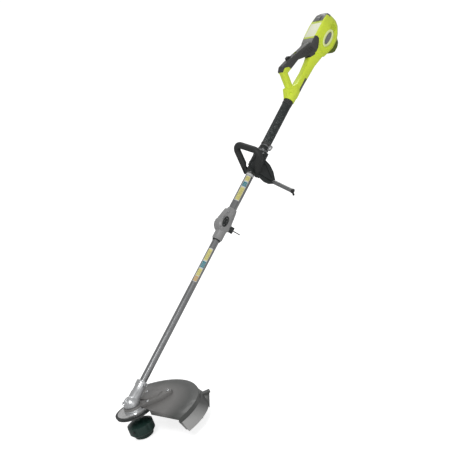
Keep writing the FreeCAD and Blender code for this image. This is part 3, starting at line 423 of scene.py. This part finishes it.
NODE_FINISH = {
    "lime": ["left_housing", "right_housing"],
    "deep_lime": ["foot_pad"],
    "battery": ["battery_case", "battery_lid"],
    "black": ["clamp_upper", "clamp_lower", "barrier_bracket", "barrier_end_cap", "clamp_knob",
              "release_button", "collar_ring", "lock_off_button", "trigger_switch", "cooling_fan", "spool"],
    "head_black": ["head_housing", "bump_knob"],
    "charcoal": ["grip_cover", "collar_base"],
    "foam": ["handle_cover"],
    "guard": ["guard_roof", "guard_bracket"],
    "skirt": ["guard_skirt"],
    "coupler_grey": ["coupler_left", "coupler_right"],
    "grey": ["trigger", "battery_latch", "motor_mounts"],
    "cast": ["gear_case", "gear_case_cap"],
    "polished": ["polished_plate"],
    "blackened": ["handle_loop", "line_eyelets"],
    "steel": ["lower_bushes", "battery_cells", "bump_spring", "clamp_bolts", "driven_gear", "flange_washer",
              "gear_bearings", "guard_screws", "harness_eye", "housing_screws",
              "lower_drive_shaft", "motor_shaft", "motor_stator", "shaft_screws", "spindle",
              "upper_bearings", "upper_drive_shaft"],
    "tube": ["lower_tube", "upper_tube", "barrier_bar"],
    "brass": ["upper_bushes", "terminal_block"],
    "copper": ["rotor_core"],
    "line": ["wound_line"],
    "board": ["control_board"],
    "sleeve": ["shaft_sleeve"],
}


def paint(piece, finish):
    piece.data.materials.clear()
    piece.data.materials.append(FINISH[finish])


# ---- modelling helpers ------------------------------------------------------------------------
def only(piece):
    """Select one object and make it active."""
    bpy.ops.object.select_all(action="DESELECT")
    piece.select_set(True)
    bpy.context.view_layer.objects.active = piece


def settle(piece, place, name):
    """Put a piece modelled in a working frame into the row frame, with its place in its mesh."""
    piece.data.transform(place @ piece.matrix_world)
    piece.matrix_world = Matrix.Identity(4)
    piece.name = name
    piece.data.name = name
    return piece


def applied(piece, kind, **values):
    """Add a modifier, set it and apply it."""
    only(piece)
    modifier = piece.modifiers.new(kind.lower(), kind)
    for label, value in values.items():
        setattr(modifier, label, value)
    bpy.ops.object.modifier_apply(modifier=modifier.name)
    return piece


def rounded(piece, width, segments=2, angle=30.0):
    return applied(piece, "BEVEL", width=width, segments=segments, limit_method="ANGLE",
                   angle_limit=math.radians(angle), use_clamp_overlap=True)


def smooth(piece, angle=40.0):
    only(piece)
    bpy.ops.object.shade_smooth_by_angle(angle=math.radians(angle))
    return piece


def finished(piece, body, finish):
    paint(piece, finish)
    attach(piece, body)
    return piece


def softened(node, width, segments=2, angle=40.0, finish=None):
    """A copy of a CAD node with its edges rounded, which stands in for it."""
    source = NODES[node]
    piece = source.copy()
    piece.data = source.data.copy()
    piece.parent = None
    for key in list(piece.keys()):
        del piece[key]
    bpy.context.scene.collection.objects.link(piece)
    only(piece)
    bpy.ops.object.mode_set(mode="EDIT")
    bpy.ops.mesh.select_all(action="SELECT")
    bpy.ops.mesh.remove_doubles(threshold=0.00001)
    bpy.ops.mesh.dissolve_limited(angle_limit=math.radians(2.0))
    bpy.ops.object.mode_set(mode="OBJECT")
    settle(piece, Matrix.Identity(4), node + "_shell")
    rounded(piece, width, segments, angle)
    smooth(piece, 50.0)
    paint(piece, finish or FINISH_OF[node])
    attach(piece, BODY_OF[node])
    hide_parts(node)
    return piece


FINISH_OF = {node: finish for finish, nodes in NODE_FINISH.items() for node in nodes}


def finish_cad_nodes():
    for node, finish in FINISH_OF.items():
        paint(NODES[node], finish)


def softened_shells():
    for node in ("left_housing", "right_housing", "grip_cover"):
        softened(node, 0.0016, 3, 30.0)
    for node in ("battery_case", "battery_lid", "foot_pad", "coupler_left", "coupler_right"):
        softened(node, 0.0012, 2, 30.0)
    for node in ("trigger", "lock_off_button", "clamp_upper", "clamp_lower", "barrier_bracket"):
        softened(node, 0.0008, 2, 30.0)
    for node in ("guard_roof", "guard_skirt", "guard_bracket", "gear_case", "head_housing", "bump_knob"):
        softened(node, 0.0009, 2, 35.0)


# ---- labels -----------------------------------------------------------------------------------
def wrapped_patch(name, start, end, radius, low, high, thick, finish, body):
    """A thin label round part of a tube, between two turns about the shaft."""
    steps = 14
    bpy.ops.object.select_all(action="DESELECT")
    bpy.ops.mesh.primitive_grid_add(x_subdivisions=2, y_subdivisions=steps, size=1.0)
    piece = bpy.context.object
    for vertex in piece.data.vertices:
        turn = low + (vertex.co.y + 0.5) * (high - low)
        along = start + (vertex.co.x + 0.5) * (end - start)
        vertex.co = (along, radius * math.cos(turn), radius * math.sin(turn))
    applied(piece, "SOLIDIFY", thickness=thick, offset=-1.0)
    settle(piece, SHAFT_FRAME, name)
    only(piece)
    bpy.ops.object.mode_set(mode="EDIT")
    bpy.ops.mesh.select_all(action="SELECT")
    bpy.ops.mesh.normals_make_consistent(inside=False)
    bpy.ops.object.mode_set(mode="OBJECT")
    smooth(piece)
    return finished(piece, body, finish)


LABEL_HALF = math.radians(37)      # half the turn that a label covers
LABEL_LIFT = 0.00008
PAPER_THICK = 0.00006
PANEL_LIFT = 0.00005
PANEL_THICK = 0.00004
PANEL_SHARE = 0.86
LINE_LIFT = 0.00009
LINE_THICK = 0.00003
LINE_HALF = 0.022
LINE_FIRST = 0.16
LINE_STEP = 0.26
LINE_MARGIN = 0.02                 # share of the label's length kept clear at a line's ends


def label_lines(name, start, end, low, high, radius, finish, body):
    """Four plain lines along one panel; every second one is a little shorter."""
    span = end - start
    for j in range(4):
        turn = LABEL_TURN - LABEL_HALF * PANEL_SHARE + LINE_FIRST + LINE_STEP * j
        stop = high - LINE_MARGIN - LINE_MARGIN * (j % 2)
        wrapped_patch("%s_%d" % (name, j), start + (low + LINE_MARGIN) * span, start + stop * span, radius,
                      turn - LINE_HALF, turn + LINE_HALF, LINE_THICK, finish, body)


def label(name, start, end, tube_r, panels, body):
    """A label: a white backing with coloured panels, each (share from, share to, finish)."""
    paper_r = tube_r + LABEL_LIFT
    wrapped_patch(name + "_backing", start, end, paper_r, LABEL_TURN - LABEL_HALF, LABEL_TURN + LABEL_HALF,
                  PAPER_THICK, "paper", body)
    inner = LABEL_HALF * PANEL_SHARE
    for i, (low, high, finish) in enumerate(panels):
        wrapped_patch("%s_panel_%d" % (name, i), start + low * (end - start), start + high * (end - start),
                      paper_r + PANEL_LIFT, LABEL_TURN - inner, LABEL_TURN + inner, PANEL_THICK, finish, body)
        label_lines("%s_line_%d" % (name, i), start, end, low, high, paper_r + LINE_LIFT,
                    "charcoal" if finish == "cream" else "paper", body)


def labels():
    label("lower_label", 0.493, 0.634, LOWER_TUBE_R,
          [(0.02, 0.16, "amber"), (0.18, 0.38, "cream"), (0.42, 0.60, "teal"), (0.64, 0.97, "cream")],
          "attachment")
    label("upper_label", 0.842, 0.952, UPPER_TUBE_R,
          [(0.03, 0.52, "cream"), (0.57, 0.74, "teal"), (0.79, 0.97, "cream")], "power_unit")


# ---- powerhead trim -----------------------------------------------------------------------------
CHEEK_S = POWERHEAD_START + 0.299
CHEEK_H = -0.001
CHEEK_Y = 0.0404


def oval_plate(long_r, short_r, thick, edge, dish):
    """A raised oval with a rounded edge and a dished or domed middle, lying in the XY plane."""
    bpy.ops.object.select_all(action="DESELECT")
    bpy.ops.mesh.primitive_cylinder_add(vertices=72, radius=1.0, depth=thick)
    piece = bpy.context.object
    for vertex in piece.data.vertices:
        vertex.co.x *= long_r
        vertex.co.y *= short_r
    bpy.ops.object.mode_set(mode="EDIT")
    bpy.ops.mesh.select_all(action="DESELECT")
    bpy.ops.object.mode_set(mode="OBJECT")
    for face in piece.data.polygons:
        face.select = face.normal.z > 0.9
    bpy.ops.object.mode_set(mode="EDIT")
    bpy.ops.mesh.select_mode(type="FACE")
    bpy.ops.mesh.inset(thickness=edge)
    bpy.ops.transform.translate(value=(0, 0, dish))
    bpy.ops.mesh.inset(thickness=edge)
    bpy.ops.object.mode_set(mode="OBJECT")
    return rounded(piece, edge * 0.35, 2, 25.0)


def oval_ring(long_r, short_r, width, height):
    """A flattened raised ring round an oval, lying in the XY plane."""
    bpy.ops.object.select_all(action="DESELECT")
    bpy.ops.mesh.primitive_torus_add(major_segments=96, minor_segments=12, major_radius=1.0, minor_radius=0.5)
    piece = bpy.context.object
    for vertex in piece.data.vertices:
        turn = math.atan2(vertex.co.y, vertex.co.x)
        out = (math.hypot(vertex.co.x, vertex.co.y) - 1.0) * width
        vertex.co = ((long_r + out) * math.cos(turn), (short_r + out) * math.sin(turn), vertex.co.z * height)
    return piece


def cheek_place(side, raise_by):
    """From the XY plane to a cheek of the housing; side is -1 on the operator's left."""
    turn = Matrix.Rotation(math.radians(90) * -side, 4, "X")
    return SHAFT_FRAME @ Matrix.Translation((CHEEK_S, side * (CHEEK_Y + raise_by), CHEEK_H)) @ turn


def cheek_trim():
    for side, word in ((-1, "left"), (1, "right")):
        rim = settle(oval_ring(0.0345, 0.0150, 0.0100, 0.0034), cheek_place(side, 0.0004), word + "_oval_rim")
        finished(smooth(rim), "power_unit", "pale_lime")
        outer = settle(oval_ring(0.066, 0.0335, 0.0030, 0.0018), cheek_place(side, -0.0009),
                       word + "_cheek_ridge")
        finished(smooth(outer), "power_unit", "lime")
        insert = settle(oval_plate(0.0270, 0.0092, 0.0048, 0.0012, -0.0005), cheek_place(side, -0.0002),
                        word + "_oval_insert")
        finished(smooth(insert), "power_unit", "grey")


def rounded_bar(size, place, name, body, finish, edge):
    """A bar with rounded edges; size and place are in the shaft frame."""
    bpy.ops.object.select_all(action="DESELECT")
    bpy.ops.mesh.primitive_cube_add(size=1.0, location=place)
    piece = bpy.context.object
    piece.scale = size
    bpy.ops.object.transform_apply(location=False, rotation=False, scale=True)
    rounded(piece, edge, 3, 30.0)
    settle(piece, SHAFT_FRAME, name)
    return finished(smooth(piece), body, finish)


def grip_ribs():
    """Raised ribs on both sides of the rubber grip and on the battery's latch."""
    first = POWERHEAD_START + 0.186
    pitch = 0.0085
    for i in range(6):
        for side, word in ((-1, "left"), (1, "right")):
            place = (first + pitch * i, side * (0.0165 + 0.0016 * i), 0.046 - 0.003 * i)
            rounded_bar((0.0034, 0.0026, 0.026), place, "%s_grip_rib_%d" % (word, i), "power_unit",
                        "charcoal", 0.0012)
    latch_first = 1.6505
    latch_pitch = 0.0035
    for i in range(4):
        rounded_bar((0.0016, 0.014, 0.0012), (latch_first + latch_pitch * i, 0, 0.0552), "latch_rib_%d" % i,
                    "latch", "grey", 0.0005)


def beam_strip():
    """A dark strip with small bars low on the left side of the beam."""
    level = -0.012
    rounded_bar((0.062, 0.0016, 0.008), (1.386, -0.0172, level), "beam_strip", "power_unit", "charcoal",
                0.0006)
    first = 1.361
    pitch = 0.0062
    for i in range(9):
        rounded_bar((0.0032, 0.001, 0.0046), (first + pitch * i, -0.0181, level), "beam_bar_%d" % i,
                    "power_unit", "grey", 0.0004)


# ---- shaft and head trim ------------------------------------------------------------------------
def collar_on_shaft(name, start, end, inner, outer, edge, body, finish):
    """A ring round the shaft with rounded edges."""
    bpy.ops.object.select_all(action="DESELECT")
    bpy.ops.mesh.primitive_cylinder_add(vertices=64, radius=outer, depth=end - start, end_fill_type="NOTHING")
    piece = bpy.context.object
    applied(piece, "SOLIDIFY", thickness=outer - inner, offset=-1.0)
    rounded(piece, edge, 3, 30.0)
    turn = Matrix.Translation(((start + end) / 2, 0, 0)) @ Matrix.Rotation(math.radians(90), 4, "Y")
    settle(piece, SHAFT_FRAME @ turn, name)
    return finished(smooth(piece), body, finish)


def shaft_rings():
    collar_on_shaft("label_band", 0.9535, 0.9625, 0.01503, 0.01518, 0.00004, "power_unit", "paper")
    collar_on_shaft("harness_band", 1.0735, 1.0885, 0.0181, 0.0190, 0.0004, "power_unit", "black")
    collar_on_shaft("sleeve_lip", 1.096, 1.103, 0.01505, 0.0190, 0.0010, "power_unit", "charcoal")
    collar_on_shaft("lower_seal", 0.671, 0.6765, 0.01275, 0.0150, 0.0006, "attachment", "black")
    first = 1.284
    pitch = 0.006
    for i in range(3):
        start = first + pitch * i
        collar_on_shaft("sleeve_rib_%d" % i, start, start + pitch / 2, 0.0180, 0.0192, 0.0005, "power_unit",
                        "charcoal")


def button_recess_shade():
    """A black oval ring round the coupler's release button, put there as painted shade of the recess round
    the button.
    """
    turn = Matrix.Rotation(math.radians(90), 4, "X")
    place = SHAFT_FRAME @ Matrix.Translation((0.745, -0.0215, 0.0155)) @ turn
    ring = settle(oval_ring(0.0185, 0.0095, 0.006, 0.004), place, "button_recess_shade_ring")
    finished(smooth(ring), BODY_OF["coupler_left"], "black")


def gear_case_trim():
    """Ribs and a greasing plug on the cast gear case."""
    for i in range(3):
        turn = math.radians(-28 + 28 * i)
        bpy.ops.object.select_all(action="DESELECT")
        bpy.ops.mesh.primitive_torus_add(major_segments=64, minor_segments=10, major_radius=0.0268,
                                         minor_radius=0.0013, rotation=(math.radians(90), 0, turn))
        rib = bpy.context.object
        bpy.ops.object.transform_apply(location=False, rotation=True, scale=False)
        bpy.ops.object.mode_set(mode="EDIT")
        bpy.ops.mesh.select_all(action="SELECT")
        bpy.ops.mesh.bisect(plane_co=(0, 0, -0.019), plane_no=(0, 0, 1), clear_inner=True, use_fill=True)
        bpy.ops.mesh.select_all(action="SELECT")
        bpy.ops.mesh.bisect(plane_co=(0.012, 0, 0), plane_no=(1, 0, 0), clear_outer=True, use_fill=True)
        bpy.ops.object.mode_set(mode="OBJECT")
        settle(rib, HEAD_FRAME, "case_rib_%d" % i)
        finished(smooth(rib), "attachment", "cast")
    bpy.ops.object.select_all(action="DESELECT")
    bpy.ops.mesh.primitive_cylinder_add(vertices=6, radius=0.0062, depth=0.007)
    plug = rounded(bpy.context.object, 0.0006, 2)
    lean = Matrix.Rotation(math.radians(-62), 4, "Y") @ Matrix.Rotation(math.radians(-20), 4, "X")
    settle(plug, HEAD_FRAME @ lean @ Matrix.Translation((0, 0, 0.0275)), "grease_plug")
    finished(smooth(plug, 30.0), "attachment", "steel")


TRIM_EDGE = 0.0008


def skirt_corner():
    """The flap that fills the corner between the guard's tab and the skirt."""
    bpy.ops.object.select_all(action="DESELECT")
    bpy.ops.mesh.primitive_plane_add(size=1.0)
    piece = bpy.context.object
    flap_thick = 0.003
    corners = [(0.236, -31.0, -0.066), (0.266, -31.0, -0.0705), (0.240, -42.0, -0.074),
               (0.2545, -47.0, -0.098)]
    for vertex, (reach, turn, level) in zip(piece.data.vertices, corners):
        swing = math.radians(turn)
        vertex.co = (reach * math.cos(swing), reach * math.sin(swing), level)
    applied(piece, "SOLIDIFY", thickness=flap_thick, offset=0.0)
    rounded(piece, TRIM_EDGE, 2)
    settle(piece, HEAD_FRAME, "skirt_corner")
    finished(smooth(piece), "attachment", "skirt")


def guard_buttons():
    """Domed heads of the three screws that hold the guard to its bracket."""
    level = -0.0125
    head_r = 0.0062
    flatness = 0.6
    for i, (forward, right) in enumerate([(0.120, -0.058), (0.044, -0.033), (0.092, 0.034)]):
        bpy.ops.object.select_all(action="DESELECT")
        bpy.ops.mesh.primitive_uv_sphere_add(segments=32, ring_count=16, radius=head_r)
        head = bpy.context.object
        for vertex in head.data.vertices:
            vertex.co.z *= flatness
        settle(head, HEAD_FRAME @ Matrix.Translation((forward, right, level)), "guard_button_%d" % i)
        finished(smooth(head), "attachment", "steel")


def guard_ribs():
    """The two stiffening ribs on the guard's skirt; each leans outward toward its foot."""
    reach = 0.2515
    inset = 0.011
    depth = 0.012
    wide = 0.0024
    low = -0.097
    high = -0.064
    lean = 0.013
    set_back = 0.008
    for i, turn in enumerate((-45.0, -64.0)):
        bpy.ops.object.select_all(action="DESELECT")
        bpy.ops.mesh.primitive_cube_add(size=1.0, location=(reach - inset, 0, (low + high) / 2))
        rib = bpy.context.object
        rib.scale = (depth, wide, high - low)
        bpy.ops.object.transform_apply(location=True, rotation=False, scale=True)
        for vertex in rib.data.vertices:
            vertex.co.x += lean * (vertex.co.z - high) / (low - high) - set_back
        rounded(rib, 0.0006, 2)
        settle(rib, HEAD_FRAME @ Matrix.Rotation(math.radians(turn), 4, "Z"), "skirt_rib_%d" % i)
        finished(smooth(rib), "attachment", "guard")


# ---- light, floor and camera ----------------------------------------------------------------------
VIEW_AZIMUTH = math.radians(34.8)
VIEW_ELEVATION = math.radians(16.14)
VIEW_ROLL = math.radians(-21.6)
CAMERA_PLACE = Vector((-2.9415, -3.7833, 1.1631))
FLOOR_DROP = 0.131
FLOOR_LEVEL = SPIN_POINT.z - FLOOR_DROP
FLOOR_GLOW = 0.78                  # what the camera sees of the floor beyond the light that falls on it
ROOM_LIGHT = 0.42
BACKDROP = 1.1


def add_camera():
    data = bpy.data.cameras.new("view")
    data.lens = 105
    data.sensor_width = 36
    camera = bpy.data.objects.new("view", data)
    bpy.context.scene.collection.objects.link(camera)
    aim = (Matrix.Rotation(-VIEW_AZIMUTH, 4, "Z") @ Matrix.Rotation(math.radians(90) - VIEW_ELEVATION, 4, "X")
           @ Matrix.Rotation(VIEW_ROLL, 4, "Z"))
    camera.matrix_world = Matrix.Translation(CAMERA_PLACE) @ aim
    bpy.context.scene.camera = camera


def add_light(name, place, size, power, colour=(1, 1, 1)):
    data = bpy.data.lights.new(name, "AREA")
    data.size = size
    data.energy = power
    data.color = colour
    light = bpy.data.objects.new(name, data)
    bpy.context.scene.collection.objects.link(light)
    light.location = place
    light.rotation_euler = (-Vector(place)).to_track_quat("-Z", "Y").to_euler()


def camera_only(tree):
    """One where the camera looks straight at a surface, and nought where light bounces off it."""
    return tree.nodes.new("ShaderNodeLightPath").outputs["Is Camera Ray"]


def add_floor():
    bpy.ops.object.select_all(action="DESELECT")
    bpy.ops.mesh.primitive_plane_add(size=200, location=(0, 0, FLOOR_LEVEL - 0.0005))
    floor = bpy.context.object
    floor.name = "floor"
    material, tree, shader, place = blank_material("white_floor")
    shader.inputs["Roughness"].default_value = 0.9
    shader.inputs["Emission Color"].default_value = (1, 1, 1, 1)
    tree.links.new(maths(tree, "MULTIPLY", camera_only(tree), FLOOR_GLOW), shader.inputs["Emission Strength"])
    tone = between(tree, noise(tree, place, 2.0).outputs["Fac"], 0.2, 0.8, 0.62, 0.66)
    tree.links.new(tone, shader.inputs["Base Color"])
    floor.data.materials.append(material)


def add_world():
    world = bpy.data.worlds.new("studio")
    world.use_nodes = True
    tree = world.node_tree
    background = tree.nodes["Background"]
    background.inputs["Color"].default_value = (1, 1, 1, 1)
    strength = between(tree, camera_only(tree), 0.0, 1.0, ROOM_LIGHT, BACKDROP)
    tree.links.new(strength, background.inputs["Strength"])
    bpy.context.scene.world = world


def add_studio():
    add_floor()
    add_world()
    add_light("key", (-2.6, -2.2, 2.6), 1.4, 62)
    add_light("fill", (-1.2, -3.4, 0.4), 2.2, 12)
    add_light("rim", (2.0, 1.5, 2.2), 1.2, 26)
    bpy.context.scene.view_settings.view_transform = "Standard"


finish_cad_nodes()
softened_shells()
labels()
cheek_trim()
grip_ribs()
beam_strip()
shaft_rings()
gear_case_trim()
guard_ribs()
guard_buttons()
skirt_corner()
button_recess_shade()
add_studio()
add_camera()
